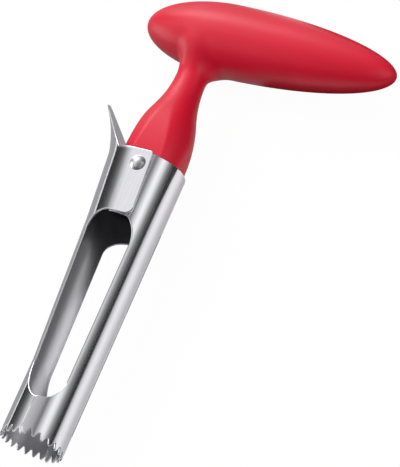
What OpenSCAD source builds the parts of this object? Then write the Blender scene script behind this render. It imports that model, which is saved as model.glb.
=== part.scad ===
// Apple corer with a T handle and a split, toothed steel tube.
// One half of the tube is fixed to the handle. The other half is a lever that swings on a rivet
// when its thumb tab is pressed, so that the cored core falls out.
//
// The pieces are drawn standing, teeth down, and laid flat at the end. Standing, X runs along the
// handle's long arm, Y along the rivet and Z up the tube, from the tooth tips to the handle.

/* [Tube] */
// Outside diameter of the fixed half of the tube
tube_d = 25; // [22:0.5:30]
// Thickness of the steel sheet
sheet_t = 0.8; // [0.6:0.05:1]
// Length from the tooth tips to the collar's rim
tube_len = 108; // [96:1:124]
// Height of the collar that holds the handle, from the rim to the windows
collar_h = 24.5; // [20:0.5:28]
// How far the collar wraps past the tube's axis, behind the rivet
collar_wrap = 2; // [1.8:0.1:2.4]
// Height of the toothed ring, from the tooth tips to the windows
ring_h = 14; // [10:0.5:18]
// Half angle of the strip of sheet that each half keeps beside the windows
spine_angle = 46; // [38:1:52]
// Width of the fixed half's window corners
corner_w = 5; // [3:0.5:6]
// Height of the fixed half's window corners
corner_h = 9; // [5:0.5:12]
// Radius of the small corners that are rounded against burrs
burr_r = 1.4; // [0.6:0.1:2]

/* [Teeth] */
// Number of teeth in a full turn
tooth_count = 24; // [16:1:30]
// Depth of the gullets between the teeth
tooth_h = 2.2; // [1.2:0.1:3]
// Radius at the bottom of a gullet
gullet_r = 0.45; // [0.3:0.05:0.6]
// Width left at the tip of a tooth
tooth_tip = 0.25; // [0.1:0.05:0.4]

/* [Lever] */
// How far the seam lies from the tube's axis, toward the long arm
seam_x = 1.4; // [0.8:0.1:1.8]
// Clearance between the collar and the lever's ears
run_gap = 0.4; // [0.3:0.05:0.6]
// How much smaller the lever's ring is than the bore of the fixed half that it nests in
nest_gap = 0.6; // [0.5:0.05:0.9]
// How far the lever's ring reaches past the seam, inside the fixed half
nest_reach = 1.4; // [0.8:0.1:1.6]
// Lean of the lever's ears away from the tube
lever_lean = 6; // [5:0.25:7]
// Distance from the rivet back to the middle of the lever's channel
ear_setback = 2.85; // [2.5:0.05:3.4]
// Reach of the ears past the rivet at the rim
ear_reach_top = 4; // [3.6:0.1:4.6]
// Reach of the ears past the rivet at their lower edge
ear_reach_low = 5.5; // [4.6:0.1:6]
// How far the lever's channel runs on below the collar
channel_run = 1.5; // [1:0.25:3]
// Height above the tooth tips at which the lever turns parallel with the tube
bend_h = 28; // [24:1:34]
// How much slimmer the lever's strip is than its channel, where they meet
strip_step = 0.05; // [0.03:0.01:0.08]
// Radius of the lever's upper window corners
lever_corner_r = 7; // [5:0.5:8]
// Height over which the lever's strip widens into its ring
flare_h = 15.5; // [9:0.5:18]

/* [Thumb tab] */
// Height of the tab above the rim, along the lever
tab_h = 20.4; // [14:0.2:24]
// How far the tab flares out past the lever's back
tab_reach = 7.7; // [5:0.1:9]
// Angle through which the tab curls between its root and its tip
tab_curl = 24; // [12:1:30]
// Half angle of the tab's root around the lever
tab_root_angle = 60; // [45:1:65]

/* [Rivet] */
// Diameter of the rivet's shank
rivet_d = 3; // [2.5:0.1:3.2]
// Distance of the rivet below the rim
rivet_drop = 5.6; // [5:0.1:7]
// Diameter of the rivet's domed heads
head_d = 5.6; // [5:0.1:6.4]
// Height of the rivet's domed heads
head_h = 1.6; // [1:0.1:2.2]
// Radial clearance of the rivet in its holes
rivet_fit = 0.05; // [0.02:0.01:0.09]
// Clearance between the rivet's heads and the ears
head_gap = 0.1; // [0.05:0.05:0.2]

/* [Handle] */
// Height of the crossbar's axis above the rim
bar_rise = 53.6; // [50:0.2:60]
// Diameter of the crossbar where it is thickest
bar_d = 26.2; // [22:0.2:30]
// Reach of the crossbar's long arm from the tube's axis
bar_long = 70.8; // [55:0.2:85]
// Reach of the crossbar's short arm from the tube's axis
bar_short = 24.1; // [20:0.1:40]
// Where the crossbar is thickest, from the tube's axis toward the long arm
bar_belly = 9.5; // [0:0.5:14]
// Diameter of the neck's waist
waist_d = 11; // [9:0.5:14]
// Height of the waist above the rim
waist_rise = 36; // [33:0.5:38]
// Height of the neck's straight foot above the rim
foot_h = 2; // [1:0.5:4]
// Radius of the neck's bulge above its foot
bulge_r = 54; // [40:1:60]
// Radius of the flare where the neck runs into the crossbar
root_r = 14; // [12:0.5:18]
// Angle through which that flare turns
root_angle = 40; // [30:1:42]
// Depth of the flat facets over the rivet, at the rim
facet_depth = 1.3; // [0.8:0.1:1.5]
// Lean of the facets toward the axis
facet_lean = 3.2; // [2:0.1:4]
// Clearance of the handle in the collar
plug_gap = 0.3; // [0.1:0.05:0.4]
// Depth to which the soft grip runs into the collar
skirt_drop = 2; // [1:0.25:3]
// Depth of the core's plug in the collar
plug_len = 16; // [13:0.5:18]
// Thickness of the soft grip over the core
skin_t = 2; // [1.8:0.1:2.6]
// Clearance between the core and the grip moulded over it
bond_gap = 0.05; // [0.02:0.01:0.1]

/* [Hidden] */

$fn = 96;
// Points along a curved corner of an outline, and along half of the crossbar
corner_steps = 12;
bar_steps = 28;
// A length that clears the whole tube, for cuts
far = 3 * tube_d;
// A small overrun for cuts that end flush with a face
over = 1;
// How far the lever's channel, strip and ring run on inside each other, and the tab's curl past its ends
lap = 8;
tab_overrun = 4;

tube_r = tube_d / 2;
bore_r = tube_r - sheet_t;
collar_z = tube_len - collar_h;
rivet_z = tube_len - rivet_drop;
spine_x = tube_r * cos(spine_angle);

// The lever's channel clears the collar, and its ring nests in the fixed half
ear_in = tube_r + run_gap;
ear_out = ear_in + sheet_t;
nest_r = bore_r - nest_gap;
channel_z = collar_z - channel_run;
nest_edge = seam_x + nest_reach;

// The lever's middle at the rim and where its channel ends
function channel_x(z) = seam_x - ear_setback / cos(lever_lean) + (rivet_z - z) * tan(lever_lean);
rim_x = channel_x(tube_len);
channel_end_x = channel_x(channel_z);

// The tapered strip between the channel and the ring
strip_rise = channel_z - bend_h;
strip_tilt = atan((seam_x - channel_end_x) / strip_rise);
strip_len = strip_rise / cos(strip_tilt);
strip_top_r = ear_out - strip_step;
strip_taper = (strip_top_r - nest_r) / strip_len;
function strip_share(z) = max(0, (z - bend_h) / strip_rise);
function strip_x(z) = seam_x + (channel_end_x - seam_x) * strip_share(z);
function strip_r(z) = nest_r + (strip_top_r - nest_r) * strip_share(z);
function strip_edge(z) = strip_x(z) - strip_r(z) * cos(spine_angle);

// A point of the leaning upper lever, measured from the rivet along and across the lever
function lever_point(across, along) =
    [seam_x + across * cos(lever_lean) - along * sin(lever_lean),
     rivet_z + across * sin(lever_lean) + along * cos(lever_lean)];

// The tab's curl: the arc from its root on the lever's back, at the rim, to its tip
back_x = -ear_setback - ear_out;
tab_z = (rivet_drop - back_x * sin(lever_lean)) / cos(lever_lean);
tab_start = atan(tab_reach / tab_h) - tab_curl / 2;
tab_r = norm([tab_reach, tab_h]) / (2 * sin(tab_curl / 2));
tab_centre = [ear_out + tab_r * cos(tab_start), tab_z - tab_r * sin(tab_start)];
tab_tip = lever_point(back_x - tab_reach, tab_z + tab_h);
tab_root_x = rim_x - ear_out * cos(tab_root_angle);

// The neck's outline: two arcs that meet smoothly, then the flare into the crossbar
foot_r = bore_r - plug_gap;
waist_r = waist_d / 2;
neck_span = waist_rise - foot_h;
neck_fall = foot_r - waist_r;
arc_sum = (pow(neck_fall, 2) + pow(neck_span, 2)) / (2 * neck_fall);
hollow_r = arc_sum - bulge_r;
arc_turn = asin(neck_span / arc_sum);

// Points along an arc, with its own width and height
function arc(centre, size, from, to) =
    [for (i = [0:corner_steps])
        let (a = from + (to - from) * i / corner_steps)
        centre + [size[0] * cos(a), size[1] * sin(a)]];

// An outline drawn in the side view, cut straight through the tube
module side_cut() {
    translate([0, far, 0])
        rotate([90, 0, 0])
            linear_extrude(height = 2 * far)
                children();
}

module lay_flat() {
    rotate([-90, 0, 0])
        children();
}

// Hole or shank along the hinge's axis
module along_hinge(radius, length) {
    translate([seam_x, 0, rivet_z])
        rotate([90, 0, 0])
            cylinder(r = radius, h = length, center = true);
}

module rivet_hole() {
    along_hinge(rivet_d / 2 + rivet_fit, 2 * far);
}

// Gullets around a ring of the given outside radius
module gullets(radius) {
    half = (2 * PI * radius / tooth_count - tooth_tip) / 2;
    crown = tooth_h - gullet_r;
    for (i = [0:tooth_count - 1])
        rotate([0, 0, (i + 0.5) * 360 / tooth_count])
            translate([radius - 2 * sheet_t, 0, 0])
                rotate([90, 0, 90])
                    linear_extrude(height = 3 * sheet_t) {
                        polygon([[-half, -over], [half, -over], [half, 0], [gullet_r, crown],
                                 [-gullet_r, crown], [-half, 0]]);
                        translate([0, crown])
                            circle(r = gullet_r);
                    }
}

module fixed_outline() {
    polygon(concat(
        [[-collar_wrap, tube_len + over], [far, tube_len + over], [far, -over], [seam_x, -over]],
        arc([seam_x + burr_r, ring_h - burr_r], [burr_r, burr_r], 180, 90),
        arc([spine_x - corner_w, ring_h + corner_h], [corner_w, corner_h], -90, 0),
        arc([spine_x - corner_w, collar_z - corner_h], [corner_w, corner_h], 0, 90),
        [[-collar_wrap, collar_z]]
    ));
}

module fixed_blade() {
    color("silver")
        lay_flat()
            difference() {
                intersection() {
                    difference() {
                        cylinder(r = tube_r, h = tube_len);
                        translate([0, 0, -over])
                            cylinder(r = bore_r, h = tube_len + 2 * over);
                    }
                    side_cut()
                        fixed_outline();
                }
                gullets(tube_r);
                rivet_hole();
            }
}

module lever_outline() {
    ear_top = seam_x + ear_reach_top - burr_r;
    ear_low = seam_x + ear_reach_low - burr_r;
    corner_z = collar_z - lever_corner_r;
    flare_z = ring_h + flare_h;
    polygon(concat(
        [[-far, tab_tip[1]], tab_tip, [tab_root_x, tube_len]],
        arc([ear_top, tube_len - burr_r], [burr_r, burr_r], 90, 0),
        arc([ear_low, collar_z + burr_r], [burr_r, burr_r], 0, -90),
        arc([strip_edge(corner_z) + lever_corner_r, corner_z], [lever_corner_r, lever_corner_r], 90, 180),
        arc([seam_x, flare_z], [seam_x - strip_edge(flare_z), flare_h], 180, 270),
        [[nest_edge, ring_h], [nest_edge, 0], [-far, 0]]
    ));
}

// The lever's upper end: a leaning channel whose flat ears stand beside the collar
module lever_channel(inset) {
    radius = ear_out - inset;
    low = channel_z - rivet_z - lap;
    translate([0, 0, low])
        linear_extrude(height = tab_z + over - low)
            union() {
                circle(r = radius);
                translate([0, -radius])
                    square([tube_d, 2 * radius]);
            }
}

// The round flare that the thumb tab is cut from
module tab_flare(inset) {
    radius = tab_r + inset;
    from = 180 - tab_start + tab_overrun;
    curve = arc(tab_centre, [radius, radius], from, from - tab_curl - 2 * tab_overrun);
    rotate_extrude()
        polygon(concat([[0, curve[0][1]]], curve, [[0, curve[corner_steps][1]]]));
}

// The lever as a solid, shrunk by an inset; the steel sheet is what two insets leave between them
module lever_solid(inset) {
    translate([seam_x, 0, rivet_z])
        rotate([0, -lever_lean, 0])
            translate([-ear_setback, 0, 0]) {
                lever_channel(inset);
                tab_flare(inset);
            }
    translate([seam_x, 0, bend_h])
        rotate([0, -strip_tilt, 0])
            translate([0, 0, -lap])
                cylinder(r1 = nest_r - inset - lap * strip_taper, r2 = strip_top_r - inset, h = strip_len + lap);
    translate([seam_x, 0, -over])
        cylinder(r = nest_r - inset, h = bend_h + lap);
}

module lever_blade() {
    color("gainsboro")
        lay_flat()
            difference() {
                intersection() {
                    difference() {
                        lever_solid(0);
                        lever_solid(sheet_t);
                    }
                    side_cut()
                        lever_outline();
                }
                translate([seam_x, 0, 0])
                    gullets(nest_r);
                rivet_hole();
            }
}

// One domed head, standing on the plane z = 0
module rivet_head() {
    dome_r = (pow(head_d / 2, 2) + pow(head_h, 2)) / (2 * head_h);
    intersection() {
        translate([0, 0, head_h - dome_r])
            sphere(r = dome_r);
        cylinder(d = head_d + over, h = head_h + over);
    }
}

module hinge_rivet() {
    seat = ear_out + head_gap;
    color("whitesmoke")
        lay_flat() {
            along_hinge(rivet_d / 2, 2 * seat + head_h);
            for (side = [0, 1])
                mirror([0, side, 0])
                    translate([seam_x, -seat, rivet_z])
                        rotate([90, 0, 0])
                            rivet_head();
        }
}

// The crossbar: two half ellipses back to back, turned about its axis
module crossbar(inset) {
    function bar_reach(a) = cos(a) > 0 ? bar_long - bar_belly : bar_short + bar_belly;
    translate([bar_belly, 0, tube_len + bar_rise])
        rotate([0, 90, 0])
            rotate_extrude()
                polygon([for (i = [0:2 * bar_steps])
                    let (a = 90 * i / bar_steps)
                    [max(0, (bar_d / 2 - inset) * sin(a)), (bar_reach(a) - inset) * cos(a)]]);
}

// The neck: foot, bulge, waist and the flare into the crossbar
module neck(inset) {
    bulge = arc([foot_r - bulge_r, foot_h], [bulge_r - inset, bulge_r - inset], 0, arc_turn);
    hollow = arc([waist_r + hollow_r, waist_rise], [hollow_r + inset, hollow_r + inset], 180 + arc_turn, 180);
    flare = arc([waist_r + root_r, waist_rise], [root_r + inset, root_r + inset], 180, 180 - root_angle);
    translate([0, 0, tube_len])
        rotate_extrude()
            polygon(concat(
                [[0, -skirt_drop], [foot_r - inset, -skirt_drop]],
                bulge,
                hollow,
                flare,
                [[flare[corner_steps][0], bar_rise], [0, bar_rise]]
            ));
}

// The flat facets that the neck has over the rivet's heads
module facets() {
    for (side = [0, 1])
        mirror([0, side, 0])
            translate([-far / 2, foot_r - facet_depth, tube_len])
                rotate([facet_lean, 0, 0])
                    translate([0, 0, -2 * skirt_drop])
                        cube([far, far, waist_rise]);
}

module handle_grip() {
    color("crimson")
        lay_flat()
            difference() {
                union() {
                    crossbar(0);
                    difference() {
                        neck(0);
                        facets();
                    }
                }
                crossbar(skin_t - bond_gap);
                neck(skin_t - bond_gap);
            }
}

module handle_core() {
    color("dimgray")
        lay_flat()
            difference() {
                union() {
                    crossbar(skin_t);
                    neck(skin_t);
                    translate([0, 0, tube_len - plug_len])
                        cylinder(r = foot_r, h = plug_len - skirt_drop);
                }
                rivet_hole();
            }
}

handle_grip();
handle_core();
fixed_blade();
lever_blade();
hinge_rivet();
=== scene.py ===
import math

import bmesh
import bpy
import numpy as np
from mathutils import Matrix, Vector


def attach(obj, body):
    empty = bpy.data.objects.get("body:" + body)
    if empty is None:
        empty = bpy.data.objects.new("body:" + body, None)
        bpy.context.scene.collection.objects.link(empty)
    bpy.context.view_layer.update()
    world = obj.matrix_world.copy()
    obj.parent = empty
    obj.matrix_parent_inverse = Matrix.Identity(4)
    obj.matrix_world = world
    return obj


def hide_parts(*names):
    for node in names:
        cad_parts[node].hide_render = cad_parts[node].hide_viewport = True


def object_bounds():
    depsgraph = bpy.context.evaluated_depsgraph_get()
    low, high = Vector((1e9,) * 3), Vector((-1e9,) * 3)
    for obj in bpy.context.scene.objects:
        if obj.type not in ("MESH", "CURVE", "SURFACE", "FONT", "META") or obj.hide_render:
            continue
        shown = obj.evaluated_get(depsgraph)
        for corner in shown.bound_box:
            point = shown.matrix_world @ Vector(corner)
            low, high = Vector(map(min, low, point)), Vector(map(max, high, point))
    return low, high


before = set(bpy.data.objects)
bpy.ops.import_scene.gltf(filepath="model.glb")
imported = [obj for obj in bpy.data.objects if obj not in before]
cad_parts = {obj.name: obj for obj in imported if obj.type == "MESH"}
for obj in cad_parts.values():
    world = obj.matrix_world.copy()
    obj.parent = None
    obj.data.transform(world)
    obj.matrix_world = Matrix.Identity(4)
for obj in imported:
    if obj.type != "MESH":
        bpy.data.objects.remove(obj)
cad_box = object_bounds()

MM = 0.001
INNER_FACE = "inner_face"


# Camera: where the photograph's was, on the mouth's side of the tool and above it

AIM_MM = (26.8, 88.5, 0.0)
CAMERA_DISTANCE_MM = 994.4
CAMERA_AZIMUTH = math.radians(48.14)
CAMERA_ELEVATION = math.radians(57.21)
CAMERA_ROLL = math.radians(-29.33)
CAMERA_LENS = 228.4
CAMERA_FAR_M = 20


def place_camera():
    """Turns the camera by its azimuth, elevation and roll, and backs it off from its aim."""
    back = Vector((math.sin(CAMERA_AZIMUTH) * math.cos(CAMERA_ELEVATION),
                   -math.cos(CAMERA_AZIMUTH) * math.cos(CAMERA_ELEVATION),
                   math.sin(CAMERA_ELEVATION)))
    level = Vector((0, 0, 1)).cross(back).normalized()
    rise = back.cross(level)
    right = level * math.cos(CAMERA_ROLL) + rise * math.sin(CAMERA_ROLL)
    up = rise * math.cos(CAMERA_ROLL) - level * math.sin(CAMERA_ROLL)
    lens = bpy.data.cameras.new("camera")
    lens.lens = CAMERA_LENS
    lens.clip_end = CAMERA_FAR_M
    camera = bpy.data.objects.new("camera", lens)
    bpy.context.scene.collection.objects.link(camera)
    turn = Matrix((right, up, back)).transposed().to_4x4()
    camera.matrix_world = Matrix.Translation((Vector(AIM_MM) + back * CAMERA_DISTANCE_MM) * MM) @ turn
    bpy.context.scene.camera = camera


# Materials

def linear(hex_colour):
    """An sRGB hex colour as linear RGBA."""
    parts = [int(hex_colour[i:i + 2], 16) / 255 for i in (1, 3, 5)]
    return [c / 12.92 if c <= 0.04045 else ((c + 0.055) / 1.055) ** 2.4 for c in parts] + [1.0]


def add_node(tree, kind, inputs=None, **settings):
    """Adds a node, with its settings, and its inputs as values or as sockets to link from."""
    node = tree.nodes.new(kind)
    for name, value in settings.items():
        setattr(node, name, value)
    for name, value in (inputs or {}).items():
        if isinstance(value, bpy.types.NodeSocket):
            tree.links.new(value, node.inputs[name])
        else:
            node.inputs[name].default_value = value
    return node


def new_material(name):
    material = bpy.data.materials.new(name)
    material.use_nodes = True
    material.node_tree.nodes.clear()
    return material, material.node_tree


def set_ramp(node, stops):
    """Gives a colour ramp its stops, as (position, grey level or hex colour)."""
    ramp = node.color_ramp
    while len(ramp.elements) > 1:
        ramp.elements.remove(ramp.elements[-1])
    for i, (position, tone) in enumerate(stops):
        stop = ramp.elements[0] if i == 0 else ramp.elements.new(position)
        stop.position = position
        stop.color = linear(tone) if isinstance(tone, str) else (tone, tone, tone, 1.0)
    return node


def soft_touch_rubber():
    """Thermoplastic rubber moulded in a lightly eroded tool: a deep even red, satin, with a fine grain.

    The real grain is about 0.1 mm, too fine to show, so it is drawn coarser.
    """
    material, tree = new_material("soft_touch_rubber")
    place = add_node(tree, "ShaderNodeTexCoord")
    grain_mm = 0.45
    grain = add_node(tree, "ShaderNodeTexNoise", {"Vector": place.outputs["Object"],
                     "Scale": 1 / (grain_mm * MM), "Detail": 3.0, "Roughness": 0.6})
    cloud_mm = 18
    cloud = add_node(tree, "ShaderNodeTexNoise", {"Vector": place.outputs["Object"],
                     "Scale": 1 / (cloud_mm * MM), "Detail": 2.0})
    tone = set_ramp(add_node(tree, "ShaderNodeValToRGB", {"Fac": cloud.outputs["Fac"]}),
                    [(0.3, "#CE112D"), (0.7, "#D41433")])
    satin = add_node(tree, "ShaderNodeMapRange", {"Value": grain.outputs["Fac"],
                     "To Min": 0.34, "To Max": 0.42})
    bump = add_node(tree, "ShaderNodeBump", {"Height": grain.outputs["Fac"], "Strength": 0.12,
                    "Distance": 0.03 * MM})
    skin = add_node(tree, "ShaderNodeBsdfPrincipled", {"Base Color": tone.outputs["Color"],
                    "Roughness": satin.outputs["Result"], "IOR": 1.5, "Normal": bump.outputs["Normal"]})
    add_node(tree, "ShaderNodeOutputMaterial", {"Surface": skin.outputs["BSDF"]})
    return material


def moulded_nylon():
    """Black glass-filled nylon as moulded: a dull charcoal black with a faint sheen.

    Its grain is drawn at about three times its real size, so that it shows.
    """
    material, tree = new_material("moulded_nylon")
    place = add_node(tree, "ShaderNodeTexCoord")
    grain_mm = 0.3
    grain = add_node(tree, "ShaderNodeTexNoise", {"Vector": place.outputs["Object"],
                     "Scale": 1 / (grain_mm * MM), "Detail": 2.0})
    tone = set_ramp(add_node(tree, "ShaderNodeValToRGB", {"Fac": grain.outputs["Fac"]}),
                    [(0.35, "#363639"), (0.65, "#404044")])
    skin = add_node(tree, "ShaderNodeBsdfPrincipled", {"Base Color": tone.outputs["Color"],
                    "Roughness": 0.6, "IOR": 1.53})
    add_node(tree, "ShaderNodeOutputMaterial", {"Surface": skin.outputs["BSDF"]})
    return material


def brushed_stainless_sheet():
    """Stainless sheet polished along the tube, mirror-bright with fine streaks; inside rougher, with painted
    shade.

    The real streaks are about 0.1 mm wide, too fine to show, so they are drawn wider.
    """
    material, tree = new_material("brushed_stainless_sheet")
    place = add_node(tree, "ShaderNodeTexCoord")
    streak_mm, streak_len_mm, inner_dullness = 0.5, 30, 0.2
    stretch = add_node(tree, "ShaderNodeMapping", {"Vector": place.outputs["Object"],
                       "Scale": (1 / (streak_mm * MM), 1 / (streak_len_mm * MM), 1 / (streak_mm * MM))})
    streaks = add_node(tree, "ShaderNodeTexNoise", {"Vector": stretch.outputs["Vector"], "Scale": 1.0,
                       "Detail": 3.0, "Roughness": 0.6})
    tone = set_ramp(add_node(tree, "ShaderNodeValToRGB", {"Fac": streaks.outputs["Fac"]}),
                    [(0.3, "#E2E2E7"), (0.7, "#EAEAEF")])
    gloss = add_node(tree, "ShaderNodeMapRange", {"Value": streaks.outputs["Fac"],
                     "To Min": 0.09, "To Max": 0.14})
    inner = add_node(tree, "ShaderNodeAttribute", attribute_name=INNER_FACE)
    # The inner face's darker grey is painted shade inside the tube; its added roughness is the real duller
    # finish.
    inner_shade_tone = add_node(tree, "ShaderNodeMix", {"Factor": inner.outputs["Fac"], "A": tone.outputs["Color"],
                    "B": linear("#DADADD")}, data_type="RGBA")
    dull = add_node(tree, "ShaderNodeMath", {0: inner.outputs["Fac"], 1: inner_dullness,
                    2: gloss.outputs["Result"]}, operation="MULTIPLY_ADD")
    sheet = add_node(tree, "ShaderNodeBsdfPrincipled", {"Base Color": inner_shade_tone.outputs["Result"],
                     "Metallic": 1.0, "Roughness": dull.outputs[0]})
    add_node(tree, "ShaderNodeOutputMaterial", {"Surface": sheet.outputs["BSDF"]})
    return material


def burnished_rivet_steel():
    """Cold-headed stainless rivet, burnished in setting: bright, with a softer sheen than the sheet."""
    material, tree = new_material("burnished_rivet_steel")
    place = add_node(tree, "ShaderNodeTexCoord")
    mark_mm = 0.6
    marks = add_node(tree, "ShaderNodeTexNoise", {"Vector": place.outputs["Object"],
                     "Scale": 1 / (mark_mm * MM), "Detail": 2.0})
    gloss = add_node(tree, "ShaderNodeMapRange", {"Value": marks.outputs["Fac"],
                     "To Min": 0.32, "To Max": 0.4})
    head = add_node(tree, "ShaderNodeBsdfPrincipled", {"Base Color": linear("#E8E8EB"),
                    "Metallic": 1.0, "Roughness": gloss.outputs["Result"]})
    add_node(tree, "ShaderNodeOutputMaterial", {"Surface": head.outputs["BSDF"]})
    return material


def white_sweep():
    """Matt studio paper: white to the camera with the tool's faint shadow, and in the steel as it is lit.

    To the rest it is a mid grey, so that it throws little light back at the tool.
    """
    material, tree = new_material("white_sweep")
    white_to_camera, white_in_steel = 0.97, 0.1
    path = add_node(tree, "ShaderNodeLightPath")
    seen = add_node(tree, "ShaderNodeMath", {0: path.outputs["Is Camera Ray"],
                    1: path.outputs["Is Glossy Ray"]}, operation="MAXIMUM")
    seen = add_node(tree, "ShaderNodeMath", {0: seen.outputs[0],
                    1: path.outputs["Is Transmission Ray"]}, operation="MAXIMUM")
    tone = add_node(tree, "ShaderNodeMix", {"Factor": seen.outputs[0], "A": linear("#8A8A8A"),
                    "B": linear("#F4F4F4")}, data_type="RGBA")
    paper = add_node(tree, "ShaderNodeBsdfDiffuse", {"Color": tone.outputs["Result"]})
    lit = add_node(tree, "ShaderNodeEmission", {"Color": (1, 1, 1, 1), "Strength": 1.0})
    plain = add_node(tree, "ShaderNodeMapRange", {"Value": path.outputs["Is Camera Ray"],
                     "To Min": white_in_steel, "To Max": white_to_camera})
    share = add_node(tree, "ShaderNodeMath", {0: seen.outputs[0], 1: plain.outputs["Result"]},
                     operation="MULTIPLY")
    mix = add_node(tree, "ShaderNodeMixShader", {"Fac": share.outputs[0], 1: paper.outputs[0],
                   2: lit.outputs[0]})
    add_node(tree, "ShaderNodeOutputMaterial", {"Surface": mix.outputs[0]})
    return material


def painted_floor_shade():
    """Painted shadow: a dim glowing grey for the paper in the tool's own shade, as the strip's inside mirrors
    it.
    """
    material, tree = new_material("painted_floor_shade")
    dim = add_node(tree, "ShaderNodeEmission", {"Color": linear("#6A6A6C"), "Strength": 1.0})
    add_node(tree, "ShaderNodeOutputMaterial", {"Surface": dim.outputs[0]})
    return material


def black_card(clear_mm, full_mm):
    """Black flocked card, feathered from clear to full along X, which the steel mirrors as its dark lines."""
    material, tree = new_material("black_card")
    place = add_node(tree, "ShaderNodeTexCoord")
    axes = add_node(tree, "ShaderNodeSeparateXYZ", {"Vector": place.outputs["Object"]})
    cover = add_node(tree, "ShaderNodeMapRange", {"Value": axes.outputs["X"], "From Min": clear_mm * MM,
                     "From Max": full_mm * MM})
    card = add_node(tree, "ShaderNodeBsdfDiffuse", {"Color": linear("#303030")})
    clear = add_node(tree, "ShaderNodeBsdfTransparent")
    mix = add_node(tree, "ShaderNodeMixShader", {"Fac": cover.outputs["Result"], 1: clear.outputs[0],
                   2: card.outputs[0]})
    add_node(tree, "ShaderNodeOutputMaterial", {"Surface": mix.outputs[0]})
    return material


def grey_card():
    """Mid grey card, glowing evenly, which keeps the steel's left edge and the thumb tab from turning white."""
    material, tree = new_material("grey_card")
    card = add_node(tree, "ShaderNodeEmission", {"Color": linear("#A8A8AA"), "Strength": 1.0})
    add_node(tree, "ShaderNodeOutputMaterial", {"Surface": card.outputs[0]})
    return material


# Studio. The tent's level goes by how far a direction turns to its bright side, from 0 to 1. The strips' level
# goes by the angle in degrees round the tube's axis, and their share by the direction's Y, in front and behind.

TENT_BRIGHT_SIDE = (-0.6, 0.5, 0.62)
TENT_LEVELS = [(0.0, 0.02), (0.25, 0.03), (0.5, 0.06), (0.68, 0.09), (0.75, 0.18), (0.85, 0.5), (0.92, 1.0),
               (0.95, 1.3), (0.97, 1.9), (0.985, 4.0), (1.0, 8.0)]
STRIP_LEVELS = [(3, 0.08), (16, 0.33), (29, 1.0), (36, 1.15), (42, 1.0), (54, 0.5), (60, 0.2), (73, 0.45),
                (108, 0.7), (116, 0.95), (129, 0.65), (143, 0.2), (155, 0.08), (174, 0.03)]
STRIP_REACH = [(0.1, 0.0), (0.26, 1.0), (0.42, 1.0), (0.54, 0.0)]
STRIP_TAIL = [(-0.92, 0.0), (-0.72, 0.36), (-0.05, 0.36), (0.14, 0.0)]


def paper_sheet(name, low_mm, high_mm, lift_mm, material):
    """A staged sheet of paper or card that lies level above the floor, from its low to its high corner."""
    (left, front), (right, back) = low_mm, high_mm
    corners = [(left, front), (right, front), (right, back), (left, back)]
    mesh = bpy.data.meshes.new(name)
    mesh.from_pydata([(x * MM, y * MM, cad_box[0].z + lift_mm * MM) for x, y in corners], [], [(0, 1, 2, 3)])
    mesh.materials.append(material)
    sheet = bpy.data.objects.new(name, mesh)
    bpy.context.scene.collection.objects.link(sheet)
    return sheet


def studio_set():
    """White paper under the tool, and cards on it that only reflections see, for the steel's grey and dark."""
    paper_sheet("floor", (-3000, -3000), (3000, 3000), 0, white_sweep())
    # The grey card is partly painted shade: the thumb tab mirrors it where the floor lies in the neck's shade.
    cards = [paper_sheet("grey", (-250, -100), (-5, 300), 0.3, grey_card()),
             # The shade card is a painted shadow of the tool on the floor, which only reflections see.
             paper_sheet("shade", (-13, 12), (11, 90), 0.5, painted_floor_shade()),
             paper_sheet("flag", (45, -600), (3000, 800), 0.5, black_card(45, 150)),
             paper_sheet("under", (20, 130), (130, 300), 0.7, black_card(10, 20))]
    for card in cards:
        card.visible_camera = card.visible_diffuse = card.visible_shadow = False


def studio_world():
    """A tent lit from its upper left, crossed by the strip lights that give the steel its bands."""
    world = bpy.data.worlds.new("studio")
    bpy.context.scene.world = world
    world.use_nodes = True
    tree = world.node_tree
    tree.nodes.clear()
    place = add_node(tree, "ShaderNodeTexCoord")
    axes = add_node(tree, "ShaderNodeSeparateXYZ", {"Vector": place.outputs["Generated"]})
    toward = add_node(tree, "ShaderNodeVectorMath", {0: place.outputs["Generated"],
                      1: Vector(TENT_BRIGHT_SIDE).normalized()}, operation="DOT_PRODUCT")
    side = add_node(tree, "ShaderNodeMapRange", {"Value": toward.outputs["Value"], "From Min": -1.0})
    tent = set_ramp(add_node(tree, "ShaderNodeValToRGB", {"Fac": side.outputs["Result"]}), TENT_LEVELS)
    angle = add_node(tree, "ShaderNodeMath", {0: axes.outputs["Z"], 1: axes.outputs["X"]},
                     operation="ARCTAN2")
    turn = add_node(tree, "ShaderNodeMapRange", {"Value": angle.outputs[0], "From Min": -math.pi,
                    "From Max": math.pi})
    strips = set_ramp(add_node(tree, "ShaderNodeValToRGB", {"Fac": turn.outputs["Result"]}),
                      [((degrees + 180) / 360, level) for degrees, level in STRIP_LEVELS])
    along = add_node(tree, "ShaderNodeMapRange", {"Value": axes.outputs["Y"], "From Min": -1.0})
    reach, tail = (set_ramp(add_node(tree, "ShaderNodeValToRGB", {"Fac": along.outputs["Result"]}),
                            [((y + 1) / 2, share) for y, share in stops])
                   for stops in (STRIP_REACH, STRIP_TAIL))
    cover = add_node(tree, "ShaderNodeMath", {0: reach.outputs["Color"], 1: tail.outputs["Color"]},
                     operation="MAXIMUM")
    level = add_node(tree, "ShaderNodeMix", {"Factor": cover.outputs[0], "A": tent.outputs["Color"],
                     "B": strips.outputs["Color"]}, data_type="RGBA")
    path = add_node(tree, "ShaderNodeLightPath")
    light = add_node(tree, "ShaderNodeBackground", {"Color": level.outputs["Result"], "Strength": 1.0})
    white = add_node(tree, "ShaderNodeBackground", {"Color": (1, 1, 1, 1), "Strength": 1.0})
    mix = add_node(tree, "ShaderNodeMixShader", {"Fac": path.outputs["Is Camera Ray"], 1: light.outputs[0],
                   2: white.outputs[0]})
    add_node(tree, "ShaderNodeOutputWorld", {"Surface": mix.outputs[0]})


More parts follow.
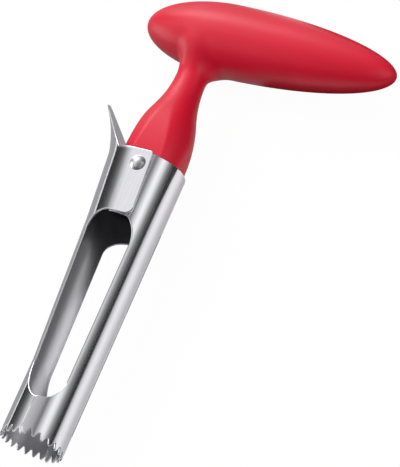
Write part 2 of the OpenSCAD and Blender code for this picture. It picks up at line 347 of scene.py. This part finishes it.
def softbox(name, place_mm, aim_mm, width_mm, height_mm, watts, mirrored=False):
    """A soft rectangular lamp, which shows in glossy surfaces only if it is mirrored."""
    light = bpy.data.lights.new(name, "AREA")
    light.shape = "RECTANGLE"
    light.size, light.size_y = width_mm * MM, height_mm * MM
    light.energy = watts
    box = bpy.data.objects.new(name, light)
    bpy.context.scene.collection.objects.link(box)
    place, aim = Vector(place_mm) * MM, Vector(aim_mm) * MM
    box.location = place
    box.rotation_mode = "QUATERNION"
    box.rotation_quaternion = (aim - place).to_track_quat("-Z", "Y")
    box.visible_glossy = mirrored


# The handle's moulding: crossbar, neck and the fillet between them, shaped as one smooth field in mm

RIM = 108.0
BAR_AXIS = np.array((9.5, RIM + 53.6, 0.0))
BAR_RADIUS, BAR_LONG, BAR_SHORT = 13.1, 61.3, 33.6
FOOT_RADIUS, FOOT_RISE, SKIRT_DROP = 11.4, 2.0, 2.0
WAIST_RADIUS, WAIST_RISE = 5.5, 36.0
BULGE_RADIUS = 54.0
SIDE_FLARE, SIDE_SPAN = 0.6, 18.0
FRONT_FLARE, FRONT_SPAN = 5.2, 11.5
FACET_DEPTH, FACET_RISE, FACET_TURN, FACET_SOFTNESS = 1.5, 22.5, math.radians(5), 0.2
TIGHT_FILLET, WIDE_FILLET = 2.2, 6.5
SHOULDER, SHOULDER_RISE, SHOULDER_SPAN = 0.35, 18.5, 8.2
RISE_STEP, FIELD_STEP = 0.01, 0.02
BLANK_VOXEL, FIELD_ROUNDS = 0.5, 8


def smooth_union(a, b, reach):
    """Two distances joined as one, with a fillet where they are within reach of each other."""
    overlap = np.clip(reach - np.abs(a - b), 0, None) / reach
    return np.minimum(a, b) - overlap ** 2 * reach / 4


def neck_radius(rise, flare, reach):
    """The neck's half width: it bulges at the foot, hollows to the waist and flares into the crossbar."""
    fall, span = FOOT_RADIUS - WAIST_RADIUS, WAIST_RISE - FOOT_RISE
    arcs = (fall ** 2 + span ** 2) / (2 * fall)
    hollow = arcs - BULGE_RADIUS
    meet = FOOT_RISE + BULGE_RADIUS * span / arcs
    up = np.clip(rise - FOOT_RISE, 0, meet)
    down = np.clip(WAIST_RISE - rise, 0, span)
    over = np.clip(rise - WAIST_RISE, 0, reach)
    bulge = FOOT_RADIUS - BULGE_RADIUS + np.sqrt(BULGE_RADIUS ** 2 - up ** 2)
    waist = WAIST_RADIUS + hollow - np.sqrt(hollow ** 2 - down ** 2)
    root = WAIST_RADIUS + flare * (0.5 - 0.5 * np.cos(math.pi * over / reach))
    return np.where(rise < meet, bulge, np.where(rise < WAIST_RISE, waist, root))


def neck_field(p):
    """Distance to the neck: a round that is deeper than wide at the crossbar, with a facet front and back."""
    rise = p[:, 1] - RIM
    fuller = SHOULDER * np.exp(-((rise - SHOULDER_RISE) / SHOULDER_SPAN) ** 2)
    wide = neck_radius(rise, SIDE_FLARE, SIDE_SPAN) + fuller
    deep = neck_radius(rise, FRONT_FLARE, FRONT_SPAN) + fuller
    slope = (neck_radius(rise + RISE_STEP, SIDE_FLARE, SIDE_SPAN) - wide + fuller) / RISE_STEP
    side = np.hypot(p[:, 0] + fuller, np.clip(np.abs(p[:, 2]) - deep + wide, 0, None)) - wide
    across = np.abs(p[:, 2]) * math.cos(FACET_TURN) + p[:, 0] * math.sin(FACET_TURN)
    facet = across - deep + FACET_DEPTH * (1 - rise / FACET_RISE)
    side = -smooth_union(-side, -facet, FACET_SOFTNESS) / np.sqrt(1 + slope ** 2)
    return np.maximum(side, np.maximum(-SKIRT_DROP - rise, p[:, 1] - BAR_AXIS[1]))


def bar_field(p):
    """Distance to the crossbar: half an ellipsoid on each side, long on one and short on the other."""
    d = p - BAR_AXIS
    reach = np.where(d[:, 0] > 0, BAR_LONG, BAR_SHORT)
    size = np.stack([reach, np.full(len(d), BAR_RADIUS), np.full(len(d), BAR_RADIUS)], 1)
    near = np.linalg.norm(d / size, axis=1)
    return near * (near - 1) / np.linalg.norm(d / size ** 2, axis=1)


def moulding_field(p):
    """The crossbar and neck in one skin, with a wide fillet under the long arm and a tight one elsewhere."""
    under = np.clip(p[:, 0] / WIDE_FILLET, 0, 1) * np.clip(1 - p[:, 2] / WIDE_FILLET, 0, 1)
    fillet = TIGHT_FILLET + (WIDE_FILLET - TIGHT_FILLET) * under ** 2 * (3 - 2 * under)
    return smooth_union(bar_field(p), neck_field(p), fillet)


def moulding_slope(p):
    steps = FIELD_STEP * np.eye(3)
    rises = [moulding_field(p + step) - moulding_field(p - step) for step in steps]
    return np.stack(rises, 1) / (2 * FIELD_STEP)


def lathe(bm, rings, axis):
    """Adds a closed turned body from (station, radius) pairs along an axis, in mm."""
    count = 64
    loops = []
    for station, radius in rings:
        loop = []
        for i in range(count):
            turn = 2 * math.pi * i / count
            c, s = radius * math.cos(turn), radius * math.sin(turn)
            loop.append(bm.verts.new((station, BAR_AXIS[1] + c, s) if axis == "X" else (c, station, s)))
        loops.append(loop)
    for low, high in zip(loops, loops[1:]):
        for i in range(count):
            bm.faces.new((low[i - 1], low[i], high[i], high[i - 1]))
    bm.faces.new(loops[0])
    bm.faces.new(list(reversed(loops[-1])))


def handle_moulding(material):
    """The red moulding in one skin: turned blanks, joined by a voxel remesh, then drawn onto the field."""
    bm = bmesh.new()
    steps = 60
    bar = []
    for i in range(1, steps):
        turn = math.pi * i / steps
        reach = BAR_SHORT if turn < math.pi / 2 else BAR_LONG
        bar.append((BAR_AXIS[0] - reach * math.cos(turn), BAR_RADIUS * math.sin(turn)))
    lathe(bm, bar, "X")
    rises = np.linspace(-SKIRT_DROP, BAR_AXIS[1] - RIM, steps)
    radii = neck_radius(rises, SIDE_FLARE, SIDE_SPAN)
    lathe(bm, [(RIM + rise, radius) for rise, radius in zip(rises, radii)], "Y")
    bmesh.ops.recalc_face_normals(bm, faces=bm.faces)
    blank = bpy.data.meshes.new("blank")
    bm.to_mesh(blank)
    bm.free()
    piece = bpy.data.objects.new("handle_moulding", blank)
    bpy.context.scene.collection.objects.link(piece)
    remesh = piece.modifiers.new("remesh", "REMESH")
    remesh.mode = "VOXEL"
    remesh.voxel_size = BLANK_VOXEL
    mesh = bpy.data.meshes.new_from_object(piece.evaluated_get(bpy.context.evaluated_depsgraph_get()))
    piece.modifiers.clear()
    piece.data = mesh
    points = np.zeros(len(mesh.vertices) * 3)
    mesh.vertices.foreach_get("co", points)
    points = points.reshape(-1, 3)
    for _ in range(FIELD_ROUNDS):
        slope = moulding_slope(points)
        points = points - (moulding_field(points) / np.sum(slope ** 2, axis=1))[:, None] * slope
    mesh.vertices.foreach_set("co", (points * MM).ravel())
    mesh.update()
    mesh.shade_smooth()
    slope = moulding_slope(points)
    mesh.normals_split_custom_set_from_vertices(slope / np.linalg.norm(slope, axis=1)[:, None])
    mesh.materials.append(material)
    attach(piece, "body")
    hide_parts("handle_grip")


# The sheet steel: each half of the tube starts as a flat blank, has its edges eased and is then folded.
# A blank is drawn in mm as (girth from the middle of the back, height above the tooth tips).

SHEET = 0.8
SEAM_X, TUBE_RADIUS, RING_RISE, COLLAR_Z = 1.4, 12.5, 14.0, 83.5
SPINE_ANGLE = math.radians(46)
BURR = 1.4
TOOTH_COUNT, TOOTH_DEPTH, TOOTH_POINTS, TOOTH_SHARPNESS = 24, 2.2, 16, 1.25
EASED_EDGE, EASED_TOOTH, EASED_SEGMENTS = 0.38, 0.6, 3
FACET_GIRTH, FOLD_STEP = 0.8, 0.01
HINGE = (SEAM_X, 102.4)

LEAN = math.radians(6)
CHANNEL_RADIUS, CHANNEL_Z, EAR_SETBACK, EAR_RUN = 13.7, 82.0, 2.85, 10
NEST_RADIUS, NEST_EDGE, BEND_Z = 11.1, 2.8, 28.0
TAB_RISE, TAB_REACH, TAB_CURL, TAB_ROOT = 20.4, 7.7, math.radians(24), math.radians(60)

# Heights at which the lever's blank gets a bend line: close in its bends and wide on the straight strip
LEVER_BENDS = [*range(22, 34), *range(38, 76, 6), *range(76, 88), *range(104, 128)]


def curve(centre, size, start, end, count=14):
    """Points along an elliptical corner, from one angle in degrees to another."""
    turns = np.radians(np.linspace(start, end, count + 1))
    return [(centre[0] + size[0] * math.cos(t), centre[1] + size[1] * math.sin(t)) for t in turns]


def toothed_edge(radius, end):
    """The toothed end of a blank, from its outer corner to its middle: round tips and round gullets."""
    pitch = 2 * math.pi * radius / TOOTH_COUNT
    girths = np.linspace(end, 0, round(end / pitch * TOOTH_POINTS), endpoint=False)
    waves = [0.5 - 0.5 * math.cos(2 * math.pi * girth / pitch) for girth in girths]
    return [(girth, TOOTH_DEPTH * wave ** TOOTH_SHARPNESS) for girth, wave in zip(girths, waves)]


def fixed_outline():
    """Half the fixed blank's outline, from the middle of the rim round to the middle of the teeth."""
    spine_x = TUBE_RADIUS * math.cos(SPINE_ANGLE)
    wide, tall, wrap = 5.0, 9.0, -2.0
    side = [(wrap, RIM), (wrap, COLLAR_Z)]
    side += curve((spine_x - wide, COLLAR_Z - tall), (wide, tall), 90, 0)
    side += curve((spine_x - wide, RING_RISE + tall), (wide, tall), 0, -90)
    side += curve((SEAM_X + BURR, RING_RISE - BURR), (BURR, BURR), 90, 180)
    edge = [(TUBE_RADIUS * math.acos(x / TUBE_RADIUS), z) for x, z in side]
    return [(0, RIM)] + edge + toothed_edge(TUBE_RADIUS, edge[-1][0])


def fixed_fold(girth, height, depth):
    """Where a point of the fixed blank lies once the blank is rolled round the tube's axis."""
    turn, radius = girth / TUBE_RADIUS, TUBE_RADIUS - depth
    return np.stack([radius * np.cos(turn), height, radius * np.sin(turn)], 1)


def lever_profile():
    """The lever's middle and radius by height: ring, strip, leaning channel and the tab's flare."""
    below, above, step, beyond_tip, soften = 4, 24, 0.1, 1.15, 15
    heights = np.arange(-below, RIM + above, step)
    middle = SEAM_X - EAR_SETBACK / math.cos(LEAN) + (HINGE[1] - heights) * math.tan(LEAN)
    end = np.interp(CHANNEL_Z, heights, middle)
    share = np.clip((heights - BEND_Z) / (CHANNEL_Z - BEND_Z), 0, 1)
    centre = np.where(heights < CHANNEL_Z, SEAM_X + (end - SEAM_X) * share, middle)
    radius = NEST_RADIUS + (CHANNEL_RADIUS - NEST_RADIUS) * share
    back = -EAR_SETBACK - CHANNEL_RADIUS
    root = (RIM - HINGE[1] - back * math.sin(LEAN)) / math.cos(LEAN)
    start = math.atan(TAB_REACH / TAB_RISE) - TAB_CURL / 2
    bend = math.hypot(TAB_REACH, TAB_RISE) / (2 * math.sin(TAB_CURL / 2))
    turns = start + np.linspace(0, beyond_tip, 60) * TAB_CURL
    across = back - bend * (math.cos(start) - np.cos(turns))
    along = root + bend * (np.sin(turns) - math.sin(start))
    tab_x = SEAM_X + across * math.cos(LEAN) - along * math.sin(LEAN)
    tab_z = HINGE[1] + across * math.sin(LEAN) + along * math.cos(LEAN)
    radius = np.where(heights > RIM, middle - np.interp(heights, tab_z, tab_x), radius)
    window = np.ones(2 * soften + 1) / (2 * soften + 1)
    for line in (centre, radius):
        line[soften:-soften] = np.convolve(line, window, "valid")
    tip = np.interp(TAB_CURL + start, turns, tab_x), np.interp(TAB_CURL + start, turns, tab_z)
    return heights, centre, radius, tip


HEIGHTS, CENTRES, RADII, TAB_TIP = lever_profile()


def lever_girth(x, z):
    """Girth on the lever at which its side view has the point x, z."""
    centre, radius = np.interp(z, HEIGHTS, CENTRES), np.interp(z, HEIGHTS, RADII)
    if x > centre and z > CHANNEL_Z:
        return radius * math.pi / 2 + x - centre
    return radius * math.acos(max(-1, min(1, (centre - x) / radius)))


def strip_edge(z):
    """Where the strip's edge lies in the lever's side view."""
    return np.interp(z, HEIGHTS, CENTRES) - np.interp(z, HEIGHTS, RADII) * math.cos(SPINE_ANGLE)


def lever_outline():
    """Half the lever blank's outline, from the tab's tip round to the middle of the teeth."""
    ear_top, ear_low, ear_round, corner, flare, blunt = 4.0, 5.5, 2.6, 7.0, 15.5, 0.04
    root_x = np.interp(RIM, HEIGHTS, CENTRES) - CHANNEL_RADIUS * math.cos(TAB_ROOT)
    tip_x, tip_z = TAB_TIP
    side = [(tip_x + (root_x - tip_x) * k, tip_z + (RIM - tip_z) * k) for k in np.linspace(blunt, 1, 24)]
    side += curve((SEAM_X + ear_top - BURR, RIM - BURR), (BURR, BURR), 90, 0)
    side += curve((SEAM_X + ear_low - ear_round, COLLAR_Z + ear_round), (ear_round, ear_round), 0, -90)
    bend = COLLAR_Z - corner
    side += curve((strip_edge(bend) + corner, bend), (corner, corner), 90, 180)
    foot = RING_RISE + flare
    side += curve((SEAM_X, foot), (SEAM_X - strip_edge(foot), flare), 180, 270)
    side.append((NEST_EDGE, RING_RISE))
    edge = [(lever_girth(x, z), z) for x, z in side]
    return [(0, tip_z)] + edge + toothed_edge(NEST_RADIUS, edge[-1][0])


def lever_fold(girth, height, depth):
    """Where a point of the lever's blank lies: ring, strip and back are round, the ears run on flat."""
    centre, radius = np.interp(height, HEIGHTS, CENTRES), np.interp(height, HEIGHTS, RADII)
    lean = np.interp(height, HEIGHTS, np.gradient(CENTRES - RADII, HEIGHTS))
    inner = radius - depth * np.sqrt(1 + lean ** 2)
    quarter = radius * math.pi / 2
    flat = np.where(height > CHANNEL_Z - EAR_RUN, np.clip(np.abs(girth) - quarter, 0, None), 0)
    turn = (np.abs(girth) - flat) / radius
    return np.stack([centre - inner * np.cos(turn) + flat, height, inner * np.sin(turn) * np.sign(girth)], 1)


def eased_blank(outline):
    """A flat blank of the sheet's thickness with its sheared edges tumbled round, as a mesh in mm."""
    ring = outline + [(-girth, height) for girth, height in reversed(outline) if girth > 0]
    bm = bmesh.new()
    face = bm.faces.new([bm.verts.new((girth, height, 0)) for girth, height in ring])
    raised = bmesh.ops.extrude_face_region(bm, geom=[face])["geom"]
    raised = [part for part in raised if isinstance(part, bmesh.types.BMVert)]
    bmesh.ops.translate(bm, verts=raised, vec=(0, 0, SHEET))
    bmesh.ops.recalc_face_normals(bm, faces=bm.faces)
    weight = bm.edges.layers.float.new("bevel_weight_edge")
    for edge in bm.edges:
        low, high = edge.verts
        if low.co.z == high.co.z:
            edge[weight] = EASED_TOOTH if min(low.co.y, high.co.y) < TOOTH_DEPTH else 1.0
    flat = bpy.data.meshes.new("blank")
    bm.to_mesh(flat)
    bm.free()
    blank = bpy.data.objects.new("blank", flat)
    bpy.context.scene.collection.objects.link(blank)
    ease = blank.modifiers.new("eased_edges", "BEVEL")
    ease.width, ease.segments = EASED_EDGE, EASED_SEGMENTS
    ease.limit_method = "WEIGHT"
    ease.use_clamp_overlap = False
    ease.loop_slide = False
    mesh = bpy.data.meshes.new_from_object(blank.evaluated_get(bpy.context.evaluated_depsgraph_get()))
    bpy.data.objects.remove(blank)
    return mesh


def folded_sheet(name, node, body, outline, fold, heights, material):
    """Folds an eased blank into its half of the tube, with the normals that the folded sheet has."""
    weld, flat_enough = 1e-5, 0.999
    mesh = eased_blank(outline)
    bm = bmesh.new()
    bm.from_mesh(mesh)
    widest = max(girth for girth, _ in outline)
    cuts = [((girth, 0, 0), (1, 0, 0)) for girth in np.arange(-widest, widest, FACET_GIRTH)]
    cuts += [((0, height, 0), (0, 1, 0)) for height in heights]
    for spot, facing in cuts:
        bmesh.ops.bisect_plane(bm, geom=bm.verts[:] + bm.edges[:] + bm.faces[:], dist=weld, plane_co=spot,
                               plane_no=facing)
    bm.normal_update()
    flats = []
    for vert in bm.verts:
        faces = [f.normal.z for f in vert.link_faces if abs(f.normal.z) > flat_enough]
        flats.append((0, 0, math.copysign(1, faces[0])) if faces else tuple(vert.normal))
    bm.to_mesh(mesh)
    bm.free()
    points = np.array([v.co for v in mesh.vertices])
    flats = np.array(flats)
    girth, height, depth = points[:, 0], points[:, 1], SHEET - points[:, 2]
    across = fold(girth + FOLD_STEP, height, depth) - fold(girth - FOLD_STEP, height, depth)
    along = fold(girth, height + FOLD_STEP, depth) - fold(girth, height - FOLD_STEP, depth)
    out = fold(girth, height, depth - FOLD_STEP) - fold(girth, height, depth + FOLD_STEP)
    sides = [np.cross(along, out), np.cross(out, across), np.cross(across, along)]
    turn = np.sign(np.mean(np.einsum("ij,ij->i", sides[2], out)))
    normals = turn * sum(flats[:, i:i + 1] * sides[i] for i in range(3))
    mesh.vertices.foreach_set("co", (fold(girth, height, depth) * MM).ravel())
    mesh.update()
    if turn < 0:
        mesh.flip_normals()
    mesh.shade_smooth()
    mesh.normals_split_custom_set_from_vertices(normals / np.linalg.norm(normals, axis=1)[:, None])
    inner = mesh.attributes.new(INNER_FACE, "FLOAT", "POINT")
    inner.data.foreach_set("value", (depth > SHEET - FOLD_STEP) * 1.0)
    mesh.materials.append(material)
    piece = bpy.data.objects.new(name, mesh)
    bpy.context.scene.collection.objects.link(piece)
    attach(piece, body)
    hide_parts(node)


def dress(node, material):
    """Gives a CAD node that is kept as it is its material."""
    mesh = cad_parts[node].data
    mesh.materials.clear()
    mesh.materials.append(material)


place_camera()
steel = brushed_stainless_sheet()
handle_moulding(soft_touch_rubber())
folded_sheet("fixed_half", "fixed_blade", "body", fixed_outline(), fixed_fold, [], steel)
folded_sheet("lever_half", "lever_blade", "lever", lever_outline(), lever_fold, LEVER_BENDS, steel)
dress("handle_core", moulded_nylon())
dress("hinge_rivet", burnished_rivet_steel())
studio_set()
studio_world()
softbox("key_softbox", (-480, 290, 600), (20, 110, 0), 400, 400, 2.9)
softbox("fill_softbox", (600, 20, 420), (20, 110, 0), 500, 500, 2.4)
softbox("left_softbox", (-430, -290, 580), (0, 110, 0), 450, 450, 0.3, mirrored=True)
softbox("low_softbox", (-650, -90, 120), (0, 155, 10), 450, 250, 0.9, mirrored=True)

bpy.context.scene.view_settings.view_transform = "Standard"
